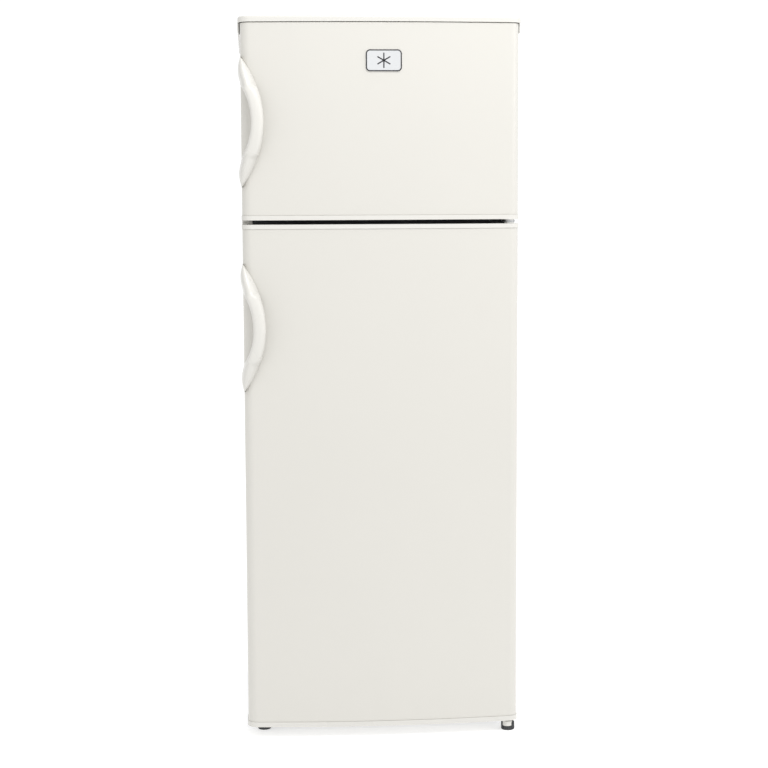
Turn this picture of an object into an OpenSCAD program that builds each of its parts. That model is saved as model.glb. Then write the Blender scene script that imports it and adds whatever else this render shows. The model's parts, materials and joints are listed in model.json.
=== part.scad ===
// Top freezer refrigerator with two bowed doors, both hinged on the right.
// Millimetres. X runs to the right, the doors face -Y, Z runs up and the floor is Z = 0.

/* [Cabinet] */
// Overall height to the top of the top cover
height = 1430; // [1350:1:1550]
// Width of the cabinet and of both doors
width = 545; // [520:1:600]
// Depth of the cabinet behind the doors
cabinet_d = 470; // [450:1:520]
// Sheet thickness of the steel shell
sheet_t = 1.2; // [0.8:0.1:2]
// Height of the gap between the floor and the cabinet
floor_gap = 30; // [25:1:45]
// How far the top cover stands out at each side
cover_out = 4.5; // [3.5:0.5:8]

/* [Compartments] */
// Side wall of the fridge compartment, outside to inside
fridge_wall = 37.5; // [30:0.5:45]
// Side wall of the freezer compartment, outside to inside
freezer_wall = 47.5; // [40:0.5:60]
// Thickness of the plastic liners
liner_t = 1.5; // [1:0.1:3]
// Inside corner radius of both compartments
liner_r = 18; // [8:1:25]
// Height of the fridge compartment floor
fridge_floor = 75; // [70:1:90]
// Height of the fridge compartment ceiling
fridge_top = 986; // [960:1:988]
// Height of the freezer compartment floor
freezer_floor = 1070; // [1068:1:1080]

/* [Doors] */
// How far each door front bows out at its middle
bow = 15; // [8:1:22]
// Plan radius of the front corners of a door
door_r = 20; // [12:1:24]
// Door thickness at its sides
door_t = 55; // [45:1:60]
// Gap between a door and the cabinet that the gasket fills
gasket_gap = 12; // [10:1:14]
// Height of the underside of the fridge door
fridge_door_z0 = 22; // [22:1:30]
// Height of the gap between the two doors
door_gap = 8.5; // [8:0.5:10]
// Height of the top of the fridge door
fridge_door_z1 = 1028; // [1024:1:1032]
// How far the plastic end caps stand proud of the door skin
cap_proud = 1.2; // [0.5:0.1:2]

/* [Handles] */
// Height of one handle
handle_h = 253; // [220:1:280]
// How far the handle stands out in front of the door edge
handle_out = 43; // [34:1:50]
// Distance from the door edge to the outside of the bow
handle_bow = 44; // [36:1:52]
// Width of the finger gap beside the bow
finger_w = 19; // [16:1:24]
// Height of the middle of the freezer door handle
freezer_handle_z = 1226.5; // [1180:0.5:1260]
// Height of the middle of the fridge door handle
fridge_handle_z = 825; // [760:1:880]

/* [Fittings] */
// Distance of the hinge axis from the side of the door
hinge_in = 17.5; // [16:0.5:20]
// Distance of the hinge axis behind the door front corner
hinge_back = 16; // [14:0.5:18]
// Radius of the hinge pins
pin_r = 4.95; // [4.9:0.01:4.97]
// Thickness of the glass shelves
shelf_t = 4; // [3:0.5:5]
// Number of tube rows in the condenser
tube_rows = 12; // [8:1:14]
// Number of wires on each side of the condenser
wire_count = 20; // [10:1:24]

/* [Hidden] */
$fn = 64;
hw = width / 2;
yf = -262;
yr = yf + door_t;
yc = yr + gasket_gap;
yb = yc + cabinet_d;
ztop = height - 11;
ax = hw - hinge_in;
ay = yf + hinge_back;
bow_r = (hw * hw + bow * bow) / (2 * bow);
bow_cy = yf - bow + bow_r;
cor_x = hw - door_r;
cor_y = bow_cy - sqrt((bow_r - door_r) * (bow_r - door_r) - cor_x * cor_x);
fl = 20;
fh = hw - fridge_wall;
zh = hw - freezer_wall;
fridge_back = yb - 40;
freezer_back = yb - 60;
freezer_top = ztop - 51;
step_y = yb - 190;
step_z = 215;
fd0 = fridge_door_z0;
fd1 = fridge_door_z1;
zd0 = fd1 + door_gap;
zd1 = ztop - 1.6;
rail_z0 = fd1 - 16;
rail_z1 = zd0 + 15.5;
mid_z = (fd1 + zd0) / 2 - 1.5;
tube_pitch = 2 * round(517 / (tube_rows - 1));
tube_top = 290 + (tube_rows - 1) * tube_pitch;
shelf_zs = [345, 520, 680, 820];
white = [0.955, 0.95, 0.93];
grey = [0.55, 0.56, 0.57];
dark = [0.16, 0.165, 0.17];
steel = [0.68, 0.69, 0.7];

// a box from its low and high corners
module box(a, b) {
  translate(a) cube([b[0] - a[0], b[1] - a[1], b[2] - a[2]]);
}

// a rounded rectangle from its low and high corners
module rr(a, b, r) {
  translate([a[0] + r, a[1]]) square([b[0] - a[0] - 2 * r, b[1] - a[1]]);
  translate([a[0], a[1] + r]) square([b[0] - a[0], b[1] - a[1] - 2 * r]);
  for (x = [a[0] + r, b[0] - r]) for (y = [a[1] + r, b[1] - r]) translate([x, y]) circle(r);
}

// an XZ outline carried along Y from y0 to y1
module along_y(y0, y1) {
  translate([0, y1, 0]) rotate([90, 0, 0]) linear_extrude(y1 - y0) children();
}

// a YZ outline carried along X from x0 to x1
module along_x(x0, x1) {
  translate([x0, 0, 0]) rotate([90, 0, 90]) linear_extrude(x1 - x0) children();
}

// the plan of a door, set in by t, down to the line y = rear
module plan(t, rear) {
  xt = cor_x * (bow_r - t) / (bow_r - door_r);
  intersection() {
    translate([0, bow_cy]) circle(bow_r - t, $fn = 3000);
    translate([-xt, yf - bow - 20]) square([2 * xt, rear - yf + bow + 20]);
  }
  for (s = [-1, 1]) translate([s * cor_x, cor_y]) circle(door_r - t);
  translate([-hw + t, cor_y]) square([width - 2 * t, rear - cor_y]);
}

module door_slab(t, z0, z1, rear) {
  translate([0, 0, z0]) linear_extrude(z1 - z0) plan(t, rear);
}

// a round bar through a list of points
module tube(p, r) {
  for (i = [0 : len(p) - 2]) {
    d = p[i + 1] - p[i];
    l = norm(d);
    translate(p[i]) rotate([0, acos(d[2] / l), atan2(d[1], d[0])]) cylinder(r = r, h = l);
  }
  for (i = [1 : len(p) - 2]) translate(p[i]) sphere(r * 1.04);
}

module fridge_void(g, front, r) {
  along_y(front, step_y - 42 + g)
    rr([-fh - g, fridge_floor - g], [fh + g, fridge_top + g], r + g);
  along_y(front, fridge_back + g)
    rr([-fh - g, step_z + 35 - g], [fh + g, fridge_top + g], r + g);
}

module freezer_void(g, front, r) {
  along_y(front, freezer_back + g)
    rr([-zh - g, freezer_floor - g], [zh + g, freezer_top + g], r + g);
}

// shanks of every hinge screw, grown by g
module screw_shanks(g) {
  for (p = [[ax, yc + 25], [ax - 25, yc + 45], [ax, yc + 65]])
    translate([p[0], p[1], ztop - 8]) cylinder(r = 2.4 + g, h = 11);
  for (z = [mid_z - 12, mid_z + 15])
    translate([hw - 8.5, yc + 8, z]) rotate([90, 0, 0]) cylinder(r = 2 + g, h = 11);
  for (x = [ax - 32, hw - 8.5])
    translate([x, yc + 8, floor_gap + 8]) rotate([90, 0, 0]) cylinder(r = 2 + g, h = 11);
}

module cabinet_shell() color(white) difference() {
  box([-hw, yc, floor_gap], [hw, yb, ztop]);
  box([-hw + sheet_t, yc + sheet_t, floor_gap - 1], [hw - sheet_t, yb + 1, ztop - sheet_t]);
  box([-hw + fl, yc - 1, floor_gap - 1], [hw - fl, yc + 3, ztop - fl]);
  screw_shanks(0.1);
}

module back_panel() color(steel)
  box([-hw + sheet_t + 0.1, yb - 1, step_z + sheet_t], [hw - sheet_t - 0.1, yb, ztop - sheet_t - 0.1]);

module bottom_pan() color(steel) difference() {
  union() {
    box([-hw + fl + 0.1, yc, floor_gap], [hw - fl - 0.1, yc + sheet_t, floor_gap + 15.9]);
    box([-hw + 1.3, yc + sheet_t, floor_gap], [hw - 1.3, step_y, floor_gap + sheet_t]);
    box([-hw + fl + 0.1, yc, floor_gap], [hw - fl - 0.1, yc + 3, floor_gap + sheet_t]);
    box([-hw + 1.3, step_y - 0.01, floor_gap], [hw - 1.3, step_y + sheet_t, step_z + sheet_t]);
    box([-hw + 1.3, step_y, step_z], [hw - 1.3, yb, step_z + sheet_t]);
    box([-252, yc - 10.5, floor_gap - 6], [-228, yc + 12, floor_gap + 0.1]);
  }
  translate([-240, yc - 4, floor_gap - 15]) cylinder(r = 3.6, h = 20);
  translate([60, yb - 60, step_z - 5]) cylinder(r = 7.3, h = 10);
  screw_shanks(0.1);
}

// insulation as slabs 0.1 mm apart, one for each wall, so that each is a simple convex block
module foam_slabs() {
  g = liner_t + 0.1;
  fx = fh + g;
  zx = zh + g;
  wx = hw - 1.3;
  y0 = yc + 1.6;
  y1 = yb - 1.1;
  sy = step_y - 0.1;
  ry = step_y - 42 + g;
  sz = step_z + 1.3;
  tz = step_z + 35 - g;
  ft = fridge_top + g;
  ff = fridge_floor - g;
  zf = freezer_floor - g;
  zt = freezer_top + g;
  for (s = [-1, 1]) {
    box([min(s * fx, s * wx), y0, floor_gap + 1.3], [max(s * fx, s * wx), sy, sz - 0.1]);
    box([min(s * fx, s * wx), y0, sz], [max(s * fx, s * wx), y1, ft]);
    box([min(s * zx, s * wx), y0, zf + 0.1], [max(s * zx, s * wx), y1, zt]);
  }
  box([0.1 - fx, y0, floor_gap + 1.3], [fx - 0.1, sy, ff]);
  box([0.1 - fx, ry, ff + 0.1], [fx - 0.1, sy, sz - 0.1]);
  box([0.1 - fx, ry, sz], [fx - 0.1, y1, tz]);
  box([0.1 - fx, fridge_back + g, tz + 0.1], [fx - 0.1, y1, ft]);
  box([-wx, y0, ft + 0.1], [wx, y1, rail_z0 - 0.1]);
  box([-wx, yc + 4.1, rail_z0], [wx, y1, rail_z1]);
  box([-wx, y0, rail_z1 + 0.1], [wx, y1, zf]);
  box([0.1 - zx, freezer_back + g, zf + 0.1], [zx - 0.1, y1, zt]);
  box([-wx, y0, zt + 0.1], [wx, y1, ztop - 1.3]);
}

module cabinet_foam() color([0.93, 0.88, 0.68]) difference() {
  foam_slabs();
  translate([60, yb - 60, step_z - 5]) cylinder(r = 7.3, h = 60);
  screw_shanks(0.1);
}

module fridge_liner() color([0.97, 0.97, 0.96]) {
  difference() {
    union() {
      fridge_void(liner_t, yc, liner_r);
      box([-hw + fl + 0.2, yc, floor_gap + 16], [hw - fl - 0.2, yc + liner_t, rail_z0 - 0.1]);
    }
    fridge_void(0, yc - 1, liner_r);
    translate([60, yb - 60, step_z + 20]) cylinder(r = 5.5, h = 30);
    screw_shanks(0.1);
  }
  for (z = shelf_zs) for (s = [-1, 1])
    box([min(s * (fh - 8), s * (fh + 1)), -64, z - 6], [max(s * (fh - 8), s * (fh + 1)), 218, z]);
}

module freezer_liner() color([0.97, 0.97, 0.96]) {
  difference() {
    union() {
      freezer_void(liner_t, yc, liner_r);
      box([-hw + fl + 0.2, yc, rail_z1 + 0.1], [hw - fl - 0.2, yc + liner_t, ztop - fl - 0.1]);
    }
    freezer_void(0, yc - 1, liner_r);
  }
  for (s = [-1, 1])
    box([min(s * (zh - 8), s * (zh + 1)), -110, 1199], [max(s * (zh - 8), s * (zh + 1)), 200, 1205]);
}

module mullion_rail() color(dark) difference() {
  box([-hw + fl + 0.2, yc, rail_z0], [hw - fl - 0.2, yc + 4, rail_z1]);
  screw_shanks(0.1);
}

// outline of the top cover, set in by t
module cover_plan(t) {
  translate([0, 2.5]) plan(t - cover_out, yb);
  box2(-hw - cover_out + t, 0, hw + cover_out - t, yb + 3 - t);
}

module box2(x0, y0, x1, y1) {
  translate([x0, y0]) square([x1 - x0, y1 - y0]);
}

module top_cover() color(white) {
  difference() {
    translate([0, 0, ztop]) linear_extrude(height - ztop) cover_plan(0);
    translate([0, 0, ztop - 1]) linear_extrude(height - ztop - 2) cover_plan(2.6);
    box([-hw - 0.2, yc - 0.2, ztop - 1], [hw + 0.2, yb + 0.2, ztop + 0.05]);
  }
  for (s = [-1, 1]) {
    box([min(s * (hw + 2.3), s * (hw + cover_out)), ay + 8, ztop - 19],
      [max(s * (hw + 2.3), s * (hw + cover_out)), yb + 3, ztop + 0.01]);
    box([min(s * (hw + 0.1), s * (hw + 2.4)), yc + 0.5, ztop - 19],
      [max(s * (hw + 0.1), s * (hw + 2.4)), yb + 3, ztop + 0.01]);
  }
  box([-hw - 2.3, yb + 0.4, ztop - 19], [hw + 2.3, yb + 3, ztop + 0.01]);
  for (y = [yc + 90, yc + 210, yc + 330, yb - 25])
    box([-hw, y, ztop + 0.06], [hw, y + 2, height - 2.9]);
}

module pin(z0, z1) {
  translate([ax, ay, z0]) cylinder(r = pin_r, h = z1 - z0);
}

module top_hinge() color(steel) difference() {
  union() {
    translate([0, 0, ztop + 0.02]) linear_extrude(2.5) {
      translate([ax, ay]) circle(9);
      box2(ax - 9, ay, ax + 9, yc + 80);
      box2(ax - 36, yc + 12, ax + 9, yc + 80);
    }
    pin(ztop - 17, ztop + 2.5);
  }
  screw_shanks(0.1);
}

module middle_hinge() color(steel) difference() {
  union() {
    translate([0, 0, mid_z]) linear_extrude(3) {
      translate([ax, ay]) circle(9);
      box2(ax - 9, ay, ax + 9, yc - 0.1);
      box2(ax, yc - 14, hw - 1, yc - 0.1);
    }
    box([ax + 1, yc - 2.6, mid_z - 19], [hw - 1, yc - 0.1, mid_z + 22]);
    pin(mid_z - 19, mid_z + 19);
  }
  screw_shanks(0.1);
}

module bottom_hinge() color(grey) difference() {
  union() {
    translate([0, 0, 16.5]) linear_extrude(3) {
      translate([ax, ay]) circle(8.5);
      box2(ax - 8.5, ay, ax + 8.5, yc - 0.1);
      box2(ax - 20, yc - 18, hw - 1, yc - 0.1);
    }
    box([ax - 40, yc - 2.6, 16.5], [hw - 1, yc - 0.1, floor_gap + 14]);
    pin(16.5, fd0 + 14);
  }
  translate([ax, ay, 10]) cylinder(r = 3.1, h = 16);
  screw_shanks(0.1);
}

module hinge_screws() color([0.6, 0.6, 0.62]) {
  screw_shanks(0);
  for (p = [[ax, yc + 25], [ax - 25, yc + 45], [ax, yc + 65]])
    translate([p[0], p[1], ztop + 2.6]) cylinder(r = 5, h = 2.4);
  for (z = [mid_z - 12, mid_z + 15])
    translate([hw - 8.5, yc - 2.7, z]) rotate([90, 0, 0]) cylinder(r = 4, h = 2.4);
  for (x = [ax - 32, hw - 8.5])
    translate([x, yc - 2.7, floor_gap + 8]) rotate([90, 0, 0]) cylinder(r = 4, h = 2.4);
}

module hinge_nose() color(white) difference() {
  translate([ax - 2, ay - 7.5, 10]) cylinder(r = 9.4, h = 9.5);
  translate([ax, ay, 9]) cylinder(r = 13.9, h = 7.4);
  translate([ax, ay, 16.3]) cylinder(r = 8.7, h = 5);
  box([ax - 30, ay, 0], [ax + 30, ay + 30, 30]);
}

module foot(x, y, disc, stud_r, top) {
  translate([x, y, 0]) {
    cylinder(r = 12.4, h = disc);
    for (i = [0 : 19]) rotate([0, 0, i * 18]) translate([10, -0.9, 1]) cube([3.5, 1.8, disc - 2]);
    cylinder(r = stud_r, h = top);
  }
}

module foot_left() color(dark) foot(-240, yc - 4, 20, 3.5, floor_gap + 4);
module foot_right() color(dark) foot(ax, ay, 16, 3, 25);

module base_plate() color(steel) difference() {
  union() {
    box([-hw + 1.4, step_y + 6, floor_gap], [hw - 1.4, yb - 4, floor_gap + 2.5]);
    box([-hw + 1.4, yb - 6.5, floor_gap], [hw - 1.4, yb - 4, floor_gap + 16]);
    for (s = [-1, 1]) for (x = [230, 250])
      box([s * x - 1.25, yb - 50, 6], [s * x + 1.25, yb - 26, floor_gap + 1]);
    for (s = [-1, 1])
      translate([s * 240 - 12.5, yb - 38, 13]) rotate([0, 90, 0]) cylinder(r = 3, h = 25);
  }
  for (x = [-22, 102]) for (y = [yb - 159, yb - 35])
    translate([x, y, floor_gap - 5]) cylinder(r = 6.1, h = 20);
}

module roller(x) {
  translate([x - 7, yb - 38, 13]) rotate([0, 90, 0]) difference() {
    union() {
      cylinder(r = 12, h = 14);
      translate([0, 0, 2]) cylinder(r = 13, h = 10);
    }
    translate([0, 0, -1]) cylinder(r = 3.08, h = 16);
    for (i = [0 : 5]) rotate([0, 0, i * 60]) translate([7.4, 0, -1]) cylinder(r = 1.6, h = 16);
  }
}

module roller_left() color(dark) roller(-240);
module roller_right() color(dark) roller(240);

module compressor() color([0.09, 0.09, 0.1]) difference() {
  translate([40, yb - 97, 0]) {
    translate([0, 0, 78]) cylinder(r = 75, h = 74);
    intersection() {
      translate([0, 0, 152 - 66.14]) sphere(100);
      translate([0, 0, 151]) cylinder(r = 75, h = 60);
    }
    intersection() {
      translate([0, 0, 78 + 66.14]) sphere(100);
      translate([0, 0, 30]) cylinder(r = 75, h = 49);
    }
    translate([0, 0, 111]) cylinder(r = 77, h = 6);
    box([-72, -72, 46], [72, 72, 49.5]);
  }
  for (x = [-22, 102]) for (y = [yb - 159, yb - 35])
    translate([x, y, 40]) cylinder(r = 6.1, h = 20);
}

module grommets() color([0.07, 0.07, 0.07])
  for (x = [-22, 102]) for (y = [yb - 159, yb - 35]) translate([x, y, 0]) difference() {
    union() {
      translate([0, 0, floor_gap + 2.6]) cylinder(r = 11, h = 46 - floor_gap - 2.7);
      translate([0, 0, floor_gap - 1]) cylinder(r = 6, h = 21.5);
    }
    translate([0, 0, floor_gap - 2]) cylinder(r = 3, h = 30);
  }

module terminal_cover() color([0.2, 0.2, 0.21]) difference() {
  box([-78, yb - 125, 84], [-35.4, yb - 68, 142]);
  box([-76, yb - 123, 86], [-34, yb - 70, 140]);
  translate([-58, yb - 60, 100]) rotate([90, 0, 0]) cylinder(r = 6.05, h = 12);
}

module cord_gland() color(dark) translate([-58, yb - 71, 100]) rotate([-90, 0, 0]) difference() {
  union() {
    cylinder(r = 6, h = 14);
    translate([0, 0, 3.1]) cylinder(r = 9, h = 4);
  }
  translate([0, 0, -1]) cylinder(r = 3.6, h = 20);
}

module condenser() color([0.08, 0.08, 0.085]) {
  for (i = [0 : tube_rows - 1])
    translate([-215, yb + 21, 290 + i * tube_pitch]) rotate([0, 90, 0]) cylinder(r = 2.5, h = 430);
  for (i = [0 : tube_rows - 2]) {
    s = i % 2 == 0 ? 1 : -1;
    translate([s * 215, yb + 21, 290 + (i + 0.5) * tube_pitch]) rotate([90, s * 90, 0])
      rotate_extrude(angle = 180) translate([tube_pitch / 2, 0]) circle(2.5);
  }
}

module condenser_wires() color([0.08, 0.08, 0.085])
  for (j = [0 : wire_count - 1]) for (s = [-1, 1])
    translate([-205 + j * 410 / (wire_count - 1), yb + 21 + s * 3.3, 275]) cylinder(r = 0.75, h = 1070);

module condenser_brackets() color([0.12, 0.12, 0.12])
  for (s = [-1, 1]) for (z = [335, 1290])
    box([s * 195 - 8, yb + 0.1, z - 12], [s * 195 + 8, yb + 16.9, z + 12]);

module filter_drier() color([0.72, 0.43, 0.26]) translate([-150, yb - 60, 0]) {
  translate([0, 0, 75]) cylinder(r = 9, h = 90);
  translate([0, 0, 165]) cylinder(r1 = 9, r2 = 3, h = 14);
  translate([0, 0, 61]) cylinder(r1 = 3, r2 = 9, h = 14);
}

module pipes() color([0.72, 0.43, 0.26]) {
  tube([[118.2, yb - 97, 120], [150, yb - 97, 120], [150, yb + 21, 120], [150, yb + 21, 250],
    [-222, yb + 21, 250], [-222, yb + 21, 290],
    [-215.2, yb + 21, 290]], 2.4);
  tube([[-150, yb - 60, 179.2], [-150, yb - 60, 195], [-150, yb + 8, 195], [-240, yb + 8, 195],
    [-240, yb + 8, tube_top],
    [-215.2, yb + 21, tube_top]], 2.4);
  tube([[-150, yb - 60, 60.8], [-150, yb - 60, 50], [-150, yb - 130, 50], [-150, yb - 130, 214]], 1.5);
  tube([[98, yb - 46, 120], [128, yb - 20, 120], [128, yb - 20, 214.5]], 3.5);
}

module drip_tray() color(dark) difference() {
  translate([40, yb - 92, 187.5]) linear_extrude(17) rr([-85, -65], [85, 65], 12);
  translate([40, yb - 92, 189.5]) linear_extrude(20) rr([-83, -63], [83, 63], 10);
}

module drain_tube() color([0.6, 0.6, 0.6]) translate([60, yb - 60, 0]) difference() {
  translate([0, 0, 206]) cylinder(r = 7, h = step_z + 33.4 - 206);
  translate([0, 0, 200]) cylinder(r = 5.5, h = 60);
}

module evaporator() color([0.8, 0.81, 0.82]) {
  box([-180, fridge_back - 6, 560], [180, fridge_back - 3, 960]);
  for (z = [600, 760, 920]) for (x = [-150, 150])
    translate([x, fridge_back - 0.1, z]) rotate([90, 0, 0]) cylinder(r = 6, h = 3.5);
  for (z = [590 : 60 : 930]) box([-165, fridge_back - 8, z - 4], [165, fridge_back - 5.9, z + 4]);
}

module control_housing() color([0.9, 0.9, 0.89]) difference() {
  along_x(fh - 39, fh - 0.1) rr([-100, 850], [75, 925], 8);
  translate([fh - 40, -45, 888]) rotate([0, 90, 0]) cylinder(r = 4.08, h = 14);
  translate([fh - 40, 38, 888]) rotate([0, 90, 0]) cylinder(r = 11, h = 20);
}

module thermostat_knob() color([0.93, 0.93, 0.92]) translate([fh - 39.2, -45, 888]) {
  rotate([0, -90, 0]) cylinder(r = 18, h = 7);
  rotate([0, -90, 0]) cylinder(r = 14, h = 11);
  box([-16, -2.5, -13.5], [-10.9, 2.5, 13.5]);
  rotate([0, 90, 0]) cylinder(r = 4, h = 12);
}

module switch_housing() color([0.9, 0.9, 0.89]) difference() {
  along_y(yc + 7, yc + 62) rr([-76, fridge_top - 13.5], [-44, fridge_top - 0.1], 3);
  translate([-60, yc + 50, fridge_top - 7]) rotate([90, 0, 0]) cylinder(r = 2.6, h = 60);
}

module switch_plunger() color([0.95, 0.95, 0.95])
  translate([-60, yr + 0.2, fridge_top - 7]) rotate([-90, 0, 0]) cylinder(r = 2.52, h = 52);

module lamp_bulb() color([0.95, 0.93, 0.85]) translate([fh - 20.5, 38, 888]) rotate([0, -90, 0]) {
  cylinder(r = 8, h = 20);
  translate([0, 0, 26]) sphere(12);
}

module lamp_cover() color([0.85, 0.9, 0.95]) difference() {
  along_x(fh - 65, fh - 39.1) rr([12, 856], [68, 920], 10);
  along_x(fh - 63.4, fh - 38) rr([13.6, 857.6], [66.4, 918.4], 8.4);
}

module glass_shelves() color([0.8, 0.9, 0.88])
  for (z = shelf_zs) box([-fh + 0.6, -80, z + 0.05], [fh - 0.6, 220, z + shelf_t]);

module shelf_trims() color([0.93, 0.94, 0.95])
  for (z = shelf_zs) difference() {
    box([-fh + 0.6, -84, z - 2], [fh - 0.6, -67, z + shelf_t + 3]);
    box([-fh, -80.1, z - 0.05], [fh, -60, z + shelf_t + 0.1]);
  }

module freezer_shelf() color([0.94, 0.95, 0.96]) difference() {
  box([-zh + 0.6, -115, 1205.05], [zh - 0.6, 205, 1210]);
  for (x = [-180 : 40 : 180]) for (y = [-85, 60])
    box([x - 9, y, 1200], [x + 9, y + 120, 1215]);
}

module crisper_drawer() color([0.82, 0.88, 0.9]) difference() {
  union() {
    translate([0, 0, fridge_floor + 0.4]) linear_extrude(262) rr([-214, -80], [214, step_y - 47], 14);
    translate([0, 0, step_z + 35.4]) linear_extrude(fridge_floor + 262.4 - step_z - 35.4)
      rr([-214, -80], [214, 215], 14);
    box([-150, -92, fridge_floor + 244], [150, -79, fridge_floor + 262.4]);
  }
  translate([0, 0, fridge_floor + 3.2]) linear_extrude(300) rr([-211.2, -77.2], [211.2, step_y - 49.8], 11.2);
  translate([0, 0, step_z + 38.2]) linear_extrude(300) rr([-211.2, -77.2], [211.2, 212.2], 11.2);
  box([-146, -88.5, fridge_floor + 230], [146, -80.5, fridge_floor + 259]);
}

// the hollow rib that stands up from a door liner, set in by g
module dyke(h, z0, z1, y1, g, r) {
  along_y(yr - liner_t, y1 - g) difference() {
    rr([-h + g, z0 + g], [h - g, z1 - g], 14 - g);
    rr([-h + 16 - g, z0 + 16 - g], [h - 16 + g, z1 - 16 + g], r);
  }
}

module fridge_dyke(g, r) {
  dyke(fh - 13, fridge_floor + 15, fridge_top - 15, yr + 57, g, r);
}

module freezer_dyke(g, r) {
  dyke(zh - 13, freezer_floor + 13, freezer_top - 13, yr + 42, g, r);
}

// hole for a hinge bush at the axis
module bush_hole(z0, z1) {
  translate([ax, ay, z0]) cylinder(r = 8.05, h = z1 - z0);
}

module skin(z0, z1) {
  difference() {
    door_slab(0, z0, z1, yr);
    door_slab(sheet_t, z0 - 1, z1 + 1, yr + 1);
  }
}

module freezer_door_skin() color(white) skin(zd0 + 9, zd1);
module fridge_door_skin() color(white) skin(fd0 + 10, fd1 - 8.5);

module freezer_door_top_cap() color(white) difference() {
  door_slab(sheet_t + 0.1, zd1 - 16, zd1, yr);
  bush_hole(zd1 - 20, zd1 + 1);
}

module freezer_door_bottom_cap() color(white) difference() {
  union() {
    door_slab(-cap_proud, zd0, zd0 + 9, yr);
    door_slab(sheet_t + 0.1, zd0 + 8.9, zd0 + 16, yr);
  }
  bush_hole(zd0 - 1, zd0 + 20);
}

module fridge_door_top_cap() color(white) difference() {
  union() {
    door_slab(-cap_proud, fd1 - 8.5, fd1, yr);
    door_slab(sheet_t + 0.1, fd1 - 24, fd1 - 8.4, yr);
  }
  bush_hole(fd1 - 30, fd1 + 1);
}

module fridge_door_bottom_cap() color(white) difference() {
  union() {
    door_slab(-cap_proud, fd0, fd0 + 10, yr);
    door_slab(sheet_t + 0.1, fd0 + 9.9, fd0 + 18, yr);
  }
  bush_hole(fd0 - 1, fd0 + 20);
}

// four bars of insulation inside the raised frame of a door liner
module dyke_bars(h, z0, z1, y1) {
  g = liner_t + 0.1;
  w0 = h - 16 + g;
  w1 = h - g;
  for (s = [-1, 1])
    box([min(s * w0, s * w1), yr - liner_t, z0 + 16 - g], [max(s * w0, s * w1), y1, z1 - 16 + g]);
  box([0.1 - w0, yr - liner_t, z0 + g], [w0 - 0.1, y1, z0 + 16 - g]);
  box([0.1 - w0, yr - liner_t, z1 - 16 + g], [w0 - 0.1, y1, z1 - g]);
}

module freezer_door_foam() color([0.93, 0.88, 0.68]) {
  door_slab(sheet_t + 0.05, zd0 + 16.1, zd1 - 16.1, yr - liner_t - 0.1);
  dyke_bars(zh - 13, freezer_floor + 13, freezer_top - 13, yr + 42 - liner_t - 0.2);
}

module fridge_door_foam() color([0.93, 0.88, 0.68]) {
  door_slab(sheet_t + 0.05, fd0 + 18.1, fd1 - 24.1, yr - liner_t - 0.1);
  dyke_bars(fh - 13, fridge_floor + 15, fridge_top - 15, yr + 57 - liner_t - 0.2);
}

module freezer_door_liner() color([0.97, 0.97, 0.96]) difference() {
  union() {
    box([-hw + 1.3, yr - liner_t, zd0 + 16.1], [hw - 1.3, yr, zd1 - 16.1]);
    freezer_dyke(0, 6);
  }
  translate([0, -0.05, 0]) freezer_dyke(liner_t, 7.5);
}

module fridge_door_liner() color([0.97, 0.97, 0.96]) difference() {
  union() {
    box([-hw + 1.3, yr - liner_t, fd0 + 18.1], [hw - 1.3, yr, fd1 - 24.1]);
    fridge_dyke(0, 6);
  }
  translate([0, -0.05, 0]) fridge_dyke(liner_t, 7.5);
}

// one layer of a gasket: y0 to y1, between insets a and b of the outer edge
module gasket_ring(z0, z1, y0, y1, a, b) {
  e = ax - 2.5;
  along_y(y0, y1) difference() {
    rr([-e + a, z0 + a], [e - a, z1 - a], 5);
    rr([-e + b, z0 + b], [e - b, z1 - b], 3);
  }
}

module gasket(z0, z1) {
  gasket_ring(z0, z1, yr + 0.05, yr + 3, 1.5, 13.5);
  gasket_ring(z0, z1, yr + 2.9, yr + 8, 4, 11);
  gasket_ring(z0, z1, yr + 7.9, yc - 0.3, 0, 15);
}

module freezer_gasket() color([0.3, 0.3, 0.31]) gasket(zd0 + 16.5, zd1 - 16.5);
module fridge_gasket() color([0.3, 0.3, 0.31]) gasket(fd0 + 24, fd1 - 24.5);

module handle(zc) {
  hh = handle_h / 2;
  out_r = (hh * hh + handle_bow * handle_bow) / (2 * handle_bow);
  in_h = hh * 0.55;
  in_r = (in_h * in_h + finger_w * finger_w) / (2 * finger_w);
  arch = handle_out - 5;
  arch_r = (hh * hh + arch * arch) / (2 * arch);
  gap = handle_out - 14;
  gap_h = hh * 0.6;
  gap_r = (gap_h * gap_h + gap * gap) / (2 * gap);
  difference() {
    intersection() {
      along_y(yf - 60, yf + 27) difference() {
        union() {
          intersection() {
            translate([-hw + handle_bow - out_r, zc]) circle(out_r, $fn = 400);
            box2(-hw - 0.1, zc - hh, -hw + 60, zc + hh);
          }
          for (s = [-1, 1]) intersection() {
            translate([-hw - 5 + 66.3, zc + s * (hh - 26.5)]) circle(66.3, $fn = 300);
            box2(-hw - 6, zc - hh, -hw + 6, zc + hh);
          }
        }
        translate([-hw + finger_w - in_r, zc]) circle(in_r, $fn = 400);
      }
      along_x(-hw - 20, -hw + 80) difference() {
        intersection() {
          translate([yf - handle_out + arch_r, zc]) circle(arch_r, $fn = 400);
          box2(yf - 60, zc - hh, yf + 27, zc + hh);
        }
        translate([yf - gap + gap_r, zc]) circle(gap_r, $fn = 400);
        box2(yf, zc - hh * 0.58, yf + 30, zc + hh * 0.58);
      }
    }
    door_slab(-0.1, zc - 200, zc + 200, yr);
  }
}

module freezer_handle() color(white) handle(freezer_handle_z);
module fridge_handle() color(white) handle(fridge_handle_z);

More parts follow.
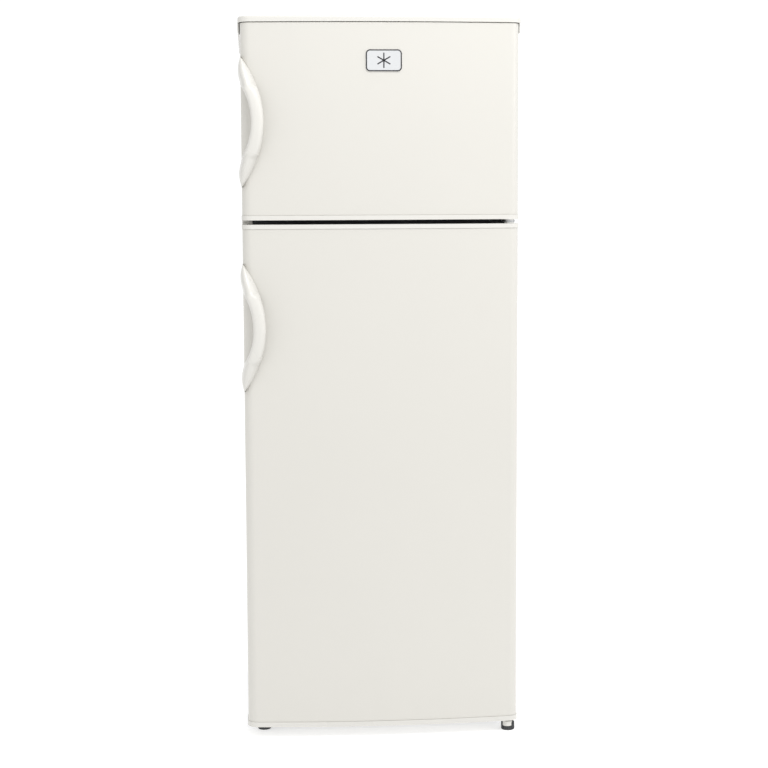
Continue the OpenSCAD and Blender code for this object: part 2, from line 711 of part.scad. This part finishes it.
module badge() color([0.75, 0.76, 0.77]) {
  difference() {
    along_y(yf - bow - 2, yf - bow - 0.02) rr([-30, 1323], [40, 1365], 8);
    along_y(yf - bow - 3, yf - bow - 1.2) rr([-27.6, 1325.4], [37.6, 1362.6], 5.6);
  }
  for (a = [0, 60, 120])
    translate([5, yf - bow - 1.6, 1344]) rotate([0, a, 0]) cube([2.4, 0.8, 29], center = true);
}

module bush(z0, z1, f0, f1) {
  difference() {
    union() {
      translate([ax, ay, z0]) cylinder(r = 8, h = z1 - z0);
      translate([ax, ay, f0]) cylinder(r = 9, h = f1 - f0);
    }
    translate([ax, ay, z0 - 10]) cylinder(r = 5, h = z1 - z0 + 20);
  }
}

module freezer_bushes() color([0.85, 0.85, 0.84]) {
  bush(zd1 - 16, zd1 + 0.5, zd1 + 0.1, zd1 + 1.45);
  bush(zd0 - 0.5, zd0 + 15.9, mid_z + 3.15, zd0 - 0.1);
}

module fridge_bushes() color([0.85, 0.85, 0.84]) {
  bush(fd1 - 24, fd1 + 0.5, fd1 + 0.1, mid_z - 0.15);
  bush(fd0 - 0.5, fd0 + 17.9, 19.65, fd0 - 0.1);
}

// an open box, x from -x1 to x1
module bin(x1, y0, y1, z0, z1, t) {
  difference() {
    translate([0, 0, z0]) linear_extrude(z1 - z0) rr([-x1, y0], [x1, y1], 3.5);
    translate([0, 0, z0 + t]) linear_extrude(z1) rr([-x1 + t, y0 + t], [x1 - t, y1 - t], 3.5 - t);
  }
}

module freezer_racks() color([0.9, 0.94, 0.96])
  for (z = [1106, 1232]) bin(zh - 30, yr + 0.3, yr + 70, z, z + 62, 2.2);

module door_bins() color([0.85, 0.91, 0.94])
  for (z = [300, 520, 740]) bin(fh - 30, yr + 0.3, yr + 97, z, z + 75, 2.2);

module bottle_rack() color([0.85, 0.91, 0.94])
  bin(fh - 30, yr + 0.3, yr + 100, fridge_floor + 38, fridge_floor + 148, 2.4);

cabinet_shell();
back_panel();
bottom_pan();
cabinet_foam();
fridge_liner();
freezer_liner();
mullion_rail();
top_cover();
top_hinge();
middle_hinge();
bottom_hinge();
hinge_screws();
hinge_nose();
base_plate();
compressor();
grommets();
terminal_cover();
cord_gland();
condenser();
condenser_wires();
condenser_brackets();
filter_drier();
pipes();
drip_tray();
drain_tube();
evaporator();
control_housing();
switch_housing();
lamp_bulb();
lamp_cover();
glass_shelves();
shelf_trims();
freezer_shelf();
foot_left();
foot_right();
roller_left();
roller_right();
thermostat_knob();
switch_plunger();
crisper_drawer();
freezer_door_skin();
freezer_door_top_cap();
freezer_door_bottom_cap();
freezer_door_foam();
freezer_door_liner();
freezer_gasket();
freezer_handle();
badge();
freezer_bushes();
freezer_racks();
fridge_door_skin();
fridge_door_top_cap();
fridge_door_bottom_cap();
fridge_door_foam();
fridge_door_liner();
fridge_gasket();
fridge_handle();
fridge_bushes();
door_bins();
bottle_rack();
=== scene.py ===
import json
import math

import bmesh
import bpy
from mathutils import Matrix, Vector


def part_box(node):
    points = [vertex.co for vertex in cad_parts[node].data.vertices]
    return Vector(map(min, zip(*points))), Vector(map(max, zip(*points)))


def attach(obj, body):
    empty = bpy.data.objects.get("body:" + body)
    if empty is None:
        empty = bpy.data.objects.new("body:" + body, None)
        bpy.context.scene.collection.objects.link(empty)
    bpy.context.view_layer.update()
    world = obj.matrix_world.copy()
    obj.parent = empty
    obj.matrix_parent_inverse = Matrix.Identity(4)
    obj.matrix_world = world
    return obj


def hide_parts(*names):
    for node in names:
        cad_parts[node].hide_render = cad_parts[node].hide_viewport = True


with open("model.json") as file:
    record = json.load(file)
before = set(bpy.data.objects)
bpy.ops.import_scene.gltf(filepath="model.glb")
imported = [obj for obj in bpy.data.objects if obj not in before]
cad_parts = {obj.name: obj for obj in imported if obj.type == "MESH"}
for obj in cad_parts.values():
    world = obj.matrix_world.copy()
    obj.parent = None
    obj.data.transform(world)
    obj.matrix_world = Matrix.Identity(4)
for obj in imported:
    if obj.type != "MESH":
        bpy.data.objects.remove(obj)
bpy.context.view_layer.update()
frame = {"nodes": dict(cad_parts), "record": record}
scene = bpy.context.scene


# ---------------------------------------------------------------- materials
def material(name, color, rough, metal=0.0, tint=0.03, scale=6.0, bump=0.0, bump_scale=900.0,
             coat=0.0, trans=0.0, ior=1.46, rough_var=0.05, streak=None):
    """A principled surface whose colour and roughness drift with noise in object space."""
    m = bpy.data.materials.new(name)
    m.use_nodes = True
    nt = m.node_tree
    bsdf = nt.nodes["Principled BSDF"]
    coord = nt.nodes.new("ShaderNodeTexCoord")
    src = coord.outputs["Object"]
    if streak:
        mp = nt.nodes.new("ShaderNodeMapping")
        mp.inputs["Scale"].default_value = streak
        nt.links.new(src, mp.inputs["Vector"])
        src = mp.outputs["Vector"]
    noise = nt.nodes.new("ShaderNodeTexNoise")
    noise.inputs["Scale"].default_value = scale
    noise.inputs["Detail"].default_value = 4.0
    nt.links.new(src, noise.inputs["Vector"])
    ramp = nt.nodes.new("ShaderNodeValToRGB")
    lo = [max(0.0, c * (1 - tint)) for c in color]
    hi = [min(1.0, c * (1 + tint)) for c in color]
    ramp.color_ramp.elements[0].position = 0.3
    ramp.color_ramp.elements[1].position = 0.7
    ramp.color_ramp.elements[0].color = (*lo, 1)
    ramp.color_ramp.elements[1].color = (*hi, 1)
    nt.links.new(noise.outputs["Fac"], ramp.inputs["Fac"])
    nt.links.new(ramp.outputs["Color"], bsdf.inputs["Base Color"])
    mr = nt.nodes.new("ShaderNodeMapRange")
    mr.inputs["To Min"].default_value = max(0.02, rough - rough_var)
    mr.inputs["To Max"].default_value = min(1.0, rough + rough_var)
    nt.links.new(noise.outputs["Fac"], mr.inputs["Value"])
    nt.links.new(mr.outputs["Result"], bsdf.inputs["Roughness"])
    bsdf.inputs["Metallic"].default_value = metal
    bsdf.inputs["IOR"].default_value = ior
    bsdf.inputs["Coat Weight"].default_value = coat
    bsdf.inputs["Coat Roughness"].default_value = 0.08
    bsdf.inputs["Transmission Weight"].default_value = trans
    if bump:
        fine = nt.nodes.new("ShaderNodeTexNoise")
        fine.inputs["Scale"].default_value = bump_scale
        fine.inputs["Detail"].default_value = 2.0
        nt.links.new(src, fine.inputs["Vector"])
        b = nt.nodes.new("ShaderNodeBump")
        b.inputs["Strength"].default_value = bump
        b.inputs["Distance"].default_value = 0.0006
        nt.links.new(fine.outputs["Fac"], b.inputs["Height"])
        nt.links.new(b.outputs["Normal"], bsdf.inputs["Normal"])
    return m


WHITE = (0.572, 0.559, 0.521)
MATS = {
    "white_paint": material("paint_white", WHITE, 0.32, tint=0.008, scale=2.5, bump=0.03, bump_scale=420,
                            coat=0.25),
    "white_plastic": material("plastic_white", (0.598, 0.587, 0.554), 0.28, tint=0.006, scale=4,
                              bump=0.02, bump_scale=700),
    "liner_plastic": material("plastic_liner", (0.84, 0.84, 0.83), 0.3, tint=0.006, scale=5, bump=0.04,
                              bump_scale=350),
    "foam": material("foam_pu", (0.86, 0.78, 0.52), 0.85, tint=0.08, scale=40, bump=0.5, bump_scale=260),
    "zinc_steel": material("steel_zinc", (0.60, 0.61, 0.62), 0.42, metal=0.85, tint=0.04, scale=70,
                           rough_var=0.06),
    "hinge_steel": material("steel_hinge", (0.52, 0.53, 0.54), 0.42, metal=0.55, tint=0.05, scale=60,
                            rough_var=0.08),
    "black_paint": material("paint_black", (0.018, 0.018, 0.02), 0.35, tint=0.2, scale=20, bump=0.08,
                            bump_scale=500),
    "dark_plastic": material("plastic_dark", (0.05, 0.052, 0.055), 0.55, tint=0.12, scale=30, bump=0.1,
                             bump_scale=600),
    "gasket_rubber": material("rubber_gasket", (0.13, 0.13, 0.135), 0.7, tint=0.08, scale=50, bump=0.1,
                              bump_scale=500),
    "black_rubber": material("rubber_black", (0.02, 0.02, 0.02), 0.75, tint=0.2, scale=50, bump=0.15,
                             bump_scale=400),
    "copper": material("copper_tube", (0.80, 0.42, 0.24), 0.3, metal=1.0, tint=0.12, scale=45,
                       rough_var=0.12),
    "alu": material("aluminium_plate", (0.78, 0.79, 0.80), 0.35, metal=1.0, tint=0.04, scale=25,
                    streak=(1, 1, 14)),
    "clear_plastic": material("plastic_clear", (0.86, 0.93, 0.96), 0.12, tint=0.01, scale=5, trans=0.75,
                              ior=1.35, rough_var=0.04),
    "shelf_glass": material("glass_shelf", (0.80, 0.93, 0.90), 0.05, tint=0.01, scale=3, trans=0.88,
                            ior=1.45, rough_var=0.03),
    "bulb_glass": material("glass_bulb", (0.95, 0.93, 0.86), 0.3, tint=0.01, scale=10, trans=0.5,
                           rough_var=0.05),
    "badge_metal": material("metal_badge", (0.70, 0.71, 0.72), 0.3, metal=0.85, tint=0.03, scale=90,
                            rough_var=0.06, streak=(1, 1, 20)),
}
def two_tone(m, front, dark):
    """Dark enamel on the raised strokes at the front of the badge, by depth along Y."""
    nt = m.node_tree
    bsdf = nt.nodes["Principled BSDF"]
    old = bsdf.inputs["Base Color"].links[0].from_socket
    sep = nt.nodes.new("ShaderNodeSeparateXYZ")
    nt.links.new(nt.nodes["Texture Coordinate"].outputs["Object"], sep.inputs["Vector"])
    lt = nt.nodes.new("ShaderNodeMath")
    lt.operation = "LESS_THAN"
    lt.inputs[1].default_value = front + 0.0004
    nt.links.new(sep.outputs["Y"], lt.inputs[0])
    mix = nt.nodes.new("ShaderNodeMixRGB")
    mix.inputs["Color2"].default_value = (*dark, 1)
    nt.links.new(lt.outputs[0], mix.inputs["Fac"])
    nt.links.new(old, mix.inputs["Color1"])
    nt.links.new(mix.outputs["Color"], bsdf.inputs["Base Color"])


two_tone(MATS["badge_metal"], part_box("badge")[0].y, (0.05, 0.05, 0.055))
SLOT = {s["node"]: s["material_slot"] for s in frame["record"]["subparts"]}
BODY = {n: b for b, ns in frame["record"]["behaviour"]["bodies"].items() for n in ns}


def sharpen(me, angle=32):
    """Smooth shading with hard edges only where two faces meet at more than the angle."""
    bm = bmesh.new()
    bm.from_mesh(me)
    lim = math.radians(angle)
    for f in bm.faces:
        f.smooth = True
    for e in bm.edges:
        if len(e.link_faces) == 2:
            e.smooth = e.calc_face_angle(0.0) < lim
    bm.to_mesh(me)
    bm.free()


def piece(name, verts, faces, nodes, mat=None, bevel=0.0, seg=3, subsurf=0, angle=32):
    """A new mesh that stands for one or more CAD nodes and rides on their body."""
    me = bpy.data.meshes.new(name)
    me.from_pydata([tuple(v) for v in verts], [], faces)
    bm = bmesh.new()
    bm.from_mesh(me)
    bmesh.ops.remove_doubles(bm, verts=bm.verts, dist=1e-6)
    bmesh.ops.recalc_face_normals(bm, faces=bm.faces)
    bm.to_mesh(me)
    bm.free()
    o = bpy.data.objects.new(name, me)
    scene.collection.objects.link(o)
    if subsurf:
        for p in me.polygons:
            p.use_smooth = True
        s = o.modifiers.new("round", "SUBSURF")
        s.levels = s.render_levels = subsurf
    else:
        sharpen(me, angle)
    if bevel:
        b = o.modifiers.new("edge", "BEVEL")
        b.width, b.segments, b.limit_method, b.angle_limit = bevel, seg, "ANGLE", math.radians(35)
        b.harden_normals = True
    me.materials.append(mat or MATS[SLOT[nodes[0]]])
    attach(o, BODY[nodes[0]])
    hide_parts(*nodes)
    return o


def loft(rings, closed=True, cap=True):
    """Faces over equal-length rings of points, with flat ends if cap."""
    n = len(rings[0])
    verts = [p for r in rings for p in r]
    faces = []
    for k in range(len(rings) - 1):
        a, b = k * n, (k + 1) * n
        for i in range(n if closed else n - 1):
            j = (i + 1) % n
            faces.append((a + i, a + j, b + j, b + i))
    if cap:
        faces.append(tuple(range(n - 1, -1, -1)))
        faces.append(tuple(range(len(verts) - n, len(verts))))
    return verts, faces


# ---------------------------------------------------------------- door plan
SHEET = 0.0012  # door skin thickness
DOOR_SIDE = 0.055  # flat side of a door, front to back
DR = 0.020  # front corner radius
lo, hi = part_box("fridge_door_skin")
HW, YR, YMID = hi.x, hi.y, lo.y  # half width, rear plane, foremost point of the bow
YF = YR - DOOR_SIDE
BOW = YF - YMID
R = (HW * HW + BOW * BOW) / (2 * BOW)  # radius of the bow and the y of its centre
CY = YF - BOW + R
CX = HW - DR  # centre of a corner arc
CCY = CY - math.sqrt((R - DR) ** 2 - CX ** 2)


def plan(t=0.0, rear=None, n=48, m=9):
    """The bowed outline of a door from the left rear corner round the front to the right."""
    rear = YR if rear is None else rear
    xt = CX * (R - t) / (R - DR)
    a0 = math.atan2(math.sqrt((R - t) ** 2 - xt * xt), xt)
    pts = [(-HW + t, rear), (-HW + t, (rear + CCY) / 2)]
    r = DR - t
    for i in range(m + 1):
        ang = math.pi + i / m * a0
        pts.append((-CX + r * math.cos(ang), CCY + r * math.sin(ang)))
    for i in range(1, n):
        x = -xt + 2 * xt * i / n
        pts.append((x, CY - math.sqrt((R - t) ** 2 - x * x)))
    right = [(-x, y) for x, y in reversed(pts[: m + 3])]
    return pts + right


def front_y(x, t=0.0):
    """Y of the door front at x."""
    ax = abs(x)
    xt = CX * (R - t) / (R - DR)
    if ax <= xt:
        return CY - math.sqrt((R - t) ** 2 - x * x)
    d = min(ax - CX, DR - t)
    return CCY - math.sqrt(max(0.0, (DR - t) ** 2 - d * d))


def door_skin(node):
    """The bent steel sheet of a door, with eased ends."""
    lo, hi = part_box(node)
    outer = plan(0.0)
    inner = plan(SHEET)
    zs = [lo.z, lo.z + 0.0006] + [lo.z + (hi.z - lo.z) * k / 12 for k in range(1, 12)] + [hi.z - 0.0006, hi.z]
    rings = []
    for k, z in enumerate(zs):
        end = k in (0, len(zs) - 1)
        o = plan(0.0004) if end else outer
        rings.append([(x, y, z) for x, y in o + inner[::-1]])
    v, f = loft(rings)
    return piece(node + "_sheet", v, f, [node], angle=28)


door_skin("freezer_door_skin")
door_skin("fridge_door_skin")


# ---------------------------------------------------------------- top cover
def top_cover():
    """The plastic lid: bowed lip over the doors, side skirts with ears at the front."""
    lo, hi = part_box("top_cover")
    out = hi.x - HW
    rear, ztop, zskirt = hi.y, hi.z, lo.z
    zlip = ztop - 0.0115
    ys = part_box("top_hinge")[0].y + 0.009 + 0.008
    shift = lo.y - (YMID - out)

    def outline(t):
        p = plan(t - out, rear=rear - t)
        q = [(x, y + shift) for x, y in p[2:-2]]
        left = [(-HW - out + t, rear - t)]
        zl = [zskirt]
        for k in range(7):
            a = k / 6 * math.pi / 2
            left.append((-HW - out + t, ys + 0.006 - 0.006 * math.sin(a)))
            zl.append(zskirt + 0.006 - 0.006 * math.cos(a) if k < 6 else zlip)
        return left, q, zl

    left, q, zl = outline(0.0)
    nl, nq = len(left), len(q)

    def ring(t, top):
        l, qq, _ = outline(t)
        pts = [(x, y, top if top is not None else z) for (x, y), z in zip(l, zl)]
        pts += [(x, y, top if top is not None else zlip) for x, y in qq]
        pts += [(-x, y, top if top is not None else z) for (x, y), z in zip(reversed(l), reversed(zl))]
        return pts

    rings = [ring(0.0024, ztop - 0.003), ring(0.0024, None), ring(0.0016, None), ring(0.0004, None)]
    fixed = ring(0.0, None)
    fixed = [(x, y, z + 0.0002) for x, y, z in fixed]
    rings.append(fixed)
    rings.append(ring(0.0, ztop - 0.004))
    for k in range(1, 6):
        a = k / 5 * math.pi / 2
        rings.append(ring(0.004 * (1 - math.cos(a)), ztop - 0.004 + 0.004 * math.sin(a)))
    rings.append(ring(0.009, ztop))
    v, f = loft(rings)
    y0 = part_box("cabinet_shell")[0].y + 0.0006
    for s in (-1, 1):
        xs = (s * (HW + 0.0002), s * (HW + 0.0028))
        sv, sf = loft([[(xs[0], y, zskirt + 0.0002), (xs[1], y, zskirt + 0.0002), (xs[1], y, ztop - 0.005),
                        (xs[0], y, ztop - 0.005)] for y in (y0, y0 + 0.1, rear - 0.003)])
        f += [tuple(i + len(v) for i in q) for q in sf]
        v += sv
    return piece("top_cover_shell", v, f, ["top_cover"], angle=40)


top_cover()


# ---------------------------------------------------------------- handles
LOBE_R = 0.0663  # radius of the ear's outline, seen from the front


def handle(node):
    """A crescent grip: it stands clear of the door in the middle and wraps the door's side at its ears."""
    lo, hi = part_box(node)
    zc, hh = (lo.z + hi.z) / 2, (hi.z - lo.z) / 2
    out = YF - lo.y
    bow = hi.x + HW
    fin = 0.019
    out_r = (hh * hh + bow * bow) / (2 * bow)
    in_h = hh * 0.55
    in_r = (in_h ** 2 + fin ** 2) / (2 * fin)
    arch = out - 0.005
    arch_r = (hh * hh + arch * arch) / (2 * arch)
    gap = out - 0.014
    gap_h = hh * 0.6
    gap_r = (gap_h ** 2 + gap ** 2) / (2 * gap)
    rings = []
    hs = [-hh + 0.0075 + (2 * hh - 0.015) * k / 44 for k in range(45)]
    hs = [-hh + 0.0004, -hh + 0.003] + hs + [hh - 0.003, hh - 0.0004]
    for h in hs:
        ah = abs(h)
        xo = -HW + bow - (out_r - math.sqrt(max(0, out_r ** 2 - h * h)))
        yfr = YF - out + (arch_r - math.sqrt(max(0, arch_r ** 2 - h * h)))
        u = ah - (hh - 0.0265)
        lobe = max(0.0, 0.005 - (LOBE_R - math.sqrt(max(0.0, LOBE_R ** 2 - u * u)))) if ah > in_h else 0.0
        if ah < in_h:
            xl = -HW + fin - (in_r - math.sqrt(in_r ** 2 - h * h))
        else:
            xl = -HW - lobe
        floating = ah < gap_h * 0.955 and ah < in_h
        w = max(xo - xl, 0.0006)
        e = min(1.0, w / 0.022)
        pts = []
        if floating:
            yb = YF - gap + (gap_r - math.sqrt(gap_r ** 2 - h * h))
            yb = min(yb, front_y(xo) - 0.0006)
            th = yb - yfr
            pts = [(xl + 0.0035 * e, yb), (xl + 0.0008, yb - 0.18 * th), (xl, yb - 0.55 * th),
                   (xl + 0.0018 * e, yfr + 0.16 * th),
                   (xl + 0.006 * e, yfr + 0.02 * th), (xl + w * 0.5, yfr), (xo - 0.008 * e, yfr + 0.03 * th),
                   (xo - 0.003 * e, yfr + 0.2 * th), (xo - 0.0004, yfr + 0.55 * th),
                   (xo, yb - 0.1 * th), (xo - 0.004 * e, yb),
                   (xl + w * 0.66, yb), (xl + w * 0.5, yb), (xl + w * 0.33, yb)]
        else:
            side = YF + 0.0265
            base = -HW - 0.0003
            yo = front_y(min(xo, HW), 0) - 0.0002
            yfr = min(yfr, yo - 0.0012)
            th = max(yo - yfr, 0.001)
            lx = min(xl, base - 0.0004)
            xm = max(xo - 0.5 * w, -HW + 0.006)
            top = max(0.12, min(1.0, lobe / 0.004))
            ys = YF + 0.012 + (side - YF - 0.012) * top
            pts = [(base, ys), (lx, ys - 0.002), (lx, YF + 0.012), (lx + 0.0004, YF + 0.003),
                   (lx + 0.12 * w, yfr + 0.004 * min(1, th / 0.006)), (lx + 0.42 * w, yfr + 0.0004),
                   (lx + 0.72 * w, yfr + 0.15 * th),
                   (lx + 0.88 * w, yfr + 0.42 * th), (lx + 0.97 * w, yfr + 0.75 * th), (xo, yo),
                   (xo - 0.1 * w, front_y(xo - 0.1 * w) + 0.0002), (xm, front_y(xm) + 0.0002),
                   (-HW + 0.0025, front_y(-HW + 0.0025) + 0.0002), (base, YF + 0.013)]
        rings.append([(x, y, zc + h) for x, y in pts])
    v, f = loft(rings)
    return piece(node + "_bow", v, f, [node], subsurf=2)


handle("freezer_handle")
handle("fridge_handle")


# ---------------------------------------------------------------- badge
def badge():
    """A plain plate with a raised frame and a six-armed mark."""
    lo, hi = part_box("badge")
    cx, cz = (lo.x + hi.x) / 2, (lo.z + hi.z) / 2
    w, h = (hi.x - lo.x) / 2, (hi.z - lo.z) / 2

    def pill(t, y):
        rc = 0.008
        r = rc - t
        pts = []
        for sx, sz, a0 in ((1, -1, -90), (1, 1, 0), (-1, 1, 90), (-1, -1, 180)):
            for k in range(9):
                a = math.radians(a0 + k * 11.25)
                pts.append((cx + sx * (w - rc) + r * math.cos(a), y, cz + sz * (h - rc) + r * math.sin(a)))
        return pts

    back, front = hi.y, lo.y
    prof = [(0.0, back), (0.0, front + 0.0005), (0.0002, front + 0.0001), (0.0005, front), (0.0021, front),
            (0.0023, front + 0.0001), (0.0024, front + 0.0008), (0.006, front + 0.0008)]
    v, f = loft([pill(t, y) for t, y in prof])
    for k in range(3):
        a = math.radians(60 * k)
        ux, uz = math.sin(a), math.cos(a)
        rings = []
        for y, t in ((front + 0.0007, 0.0), (front + 0.0002, 0.0), (front, 0.0003)):
            w2, l2 = 0.0012 - t, 0.0145 - t
            rings.append([(cx + sx * w2 * uz + sl * l2 * ux, y, cz - sx * w2 * ux + sl * l2 * uz)
                          for sx, sl in ((-1, -1), (1, -1), (1, 1), (-1, 1))])
        sv, sf = loft(rings)
        f += [tuple(i + len(v) for i in q) for q in sf]
        v += sv
    return piece("badge_plate", v, f, ["badge"], angle=30)


badge()


# ---------------------------------------------------------------- CAD nodes that stay
BEVEL = {"cabinet_shell": 0.0006, "middle_hinge": 0.0005, "bottom_hinge": 0.0005, "hinge_nose": 0.0008,
         "freezer_door_top_cap": 0.0006, "freezer_door_bottom_cap": 0.0014, "fridge_door_top_cap": 0.0014,
         "fridge_door_bottom_cap": 0.0014, "door_bins": 0.0008, "bottle_rack": 0.0008, "freezer_racks": 0.0008,
         "crisper_drawer": 0.001, "shelf_trims": 0.0012, "glass_shelves": 0.0006, "freezer_shelf": 0.001,
         "control_housing": 0.0012, "thermostat_knob": 0.0008, "fridge_liner": 0.0004, "terminal_cover": 0.0015,
         "base_plate": 0.0004, "mullion_rail": 0.0008, "drip_tray": 0.0005, "top_hinge": 0.0004, "lamp_cover": 0.0008,
         "roller_left": 0.0006, "roller_right": 0.0006, "condenser_brackets": 0.001}
for name, o in frame["nodes"].items():
    if name not in SLOT:
        continue
    o.data.materials.clear()
    o.data.materials.append(MATS[SLOT[name]])
    if name in BEVEL:
        b = o.modifiers.new("edge", "BEVEL")
        b.width, b.segments, b.limit_method, b.angle_limit = BEVEL[name], 2, "ANGLE", math.radians(40)

# ---------------------------------------------------------------- stage, light, camera
FLOOR = 14.0  # half the side of the floor
me = bpy.data.meshes.new("floor")
corners = [(-FLOOR, -FLOOR, 0), (FLOOR, -FLOOR, 0), (FLOOR, FLOOR, 0), (-FLOOR, FLOOR, 0)]
me.from_pydata(corners, [], [(0, 1, 2, 3)])
floor = bpy.data.objects.new("floor", me)
scene.collection.objects.link(floor)
pale = material("floor_pale", (0.60, 0.60, 0.60), 0.9, tint=0.004, scale=0.8)
pale.node_tree.nodes["Principled BSDF"].inputs["Emission Color"].default_value = (1, 1, 1, 1)
pale.node_tree.nodes["Principled BSDF"].inputs["Emission Strength"].default_value = 0.55
me.materials.append(pale)

world = bpy.data.worlds.new("studio")
scene.world = world
world.use_nodes = True
nt = world.node_tree  # even white light, a little dimmer from the left
bg = nt.nodes["Background"]
geo = nt.nodes.new("ShaderNodeTexCoord")
sep = nt.nodes.new("ShaderNodeSeparateXYZ")
nt.links.new(geo.outputs["Generated"], sep.inputs["Vector"])
ramp = nt.nodes.new("ShaderNodeMapRange")
ramp.inputs["From Min"].default_value, ramp.inputs["From Max"].default_value = -0.95, -0.35
ramp.inputs["To Min"].default_value, ramp.inputs["To Max"].default_value = 0.7, 1.0
nt.links.new(sep.outputs["X"], ramp.inputs["Value"])
nt.links.new(ramp.outputs["Result"], bg.inputs["Color"])
bg.inputs["Strength"].default_value = 1.10


def area(name, loc, target, size, power):
    """A rectangular soft light aimed at a point."""
    d = bpy.data.lights.new(name, "AREA")
    d.shape, d.size, d.size_y, d.energy = "RECTANGLE", size[0], size[1], power
    o = bpy.data.objects.new(name, d)
    scene.collection.objects.link(o)
    o.location = loc
    o.rotation_mode = "QUATERNION"
    o.rotation_quaternion = (Vector(target) - Vector(loc)).to_track_quat("-Z", "Y")


area("key", (0.5, -1.7, 3.0), (0.1, -0.3, 1.2), (1.4, 0.9), 33)
area("rim", (3.0, -1.2, 2.2), (0, 0, 0.8), (1.2, 2.0), 12)

cam_data = bpy.data.cameras.new("camera")
cam = bpy.data.objects.new("camera", cam_data)
scene.collection.objects.link(cam)
scene.camera = cam
cam_data.lens, cam_data.sensor_width = 83.474, 36.0
yaw, pitch, roll = math.radians(4.251), math.radians(-6.028), math.radians(-0.256)
fwd = Vector((math.sin(yaw) * math.cos(pitch), math.cos(yaw) * math.cos(pitch), math.sin(pitch)))
right = Vector((math.cos(yaw), -math.sin(yaw), 0))
up = right.cross(fwd)
r2 = math.cos(roll) * right + math.sin(roll) * up
u2 = -math.sin(roll) * right + math.cos(roll) * up
rot = Matrix((r2, u2, -fwd)).transposed()
cam.matrix_world = Matrix.Translation((-0.2565, YF - 3.5, 1.0829)) @ rot.to_4x4()
cam_data.clip_start, cam_data.clip_end = 0.05, 60
scene.view_settings.view_transform = "Standard"
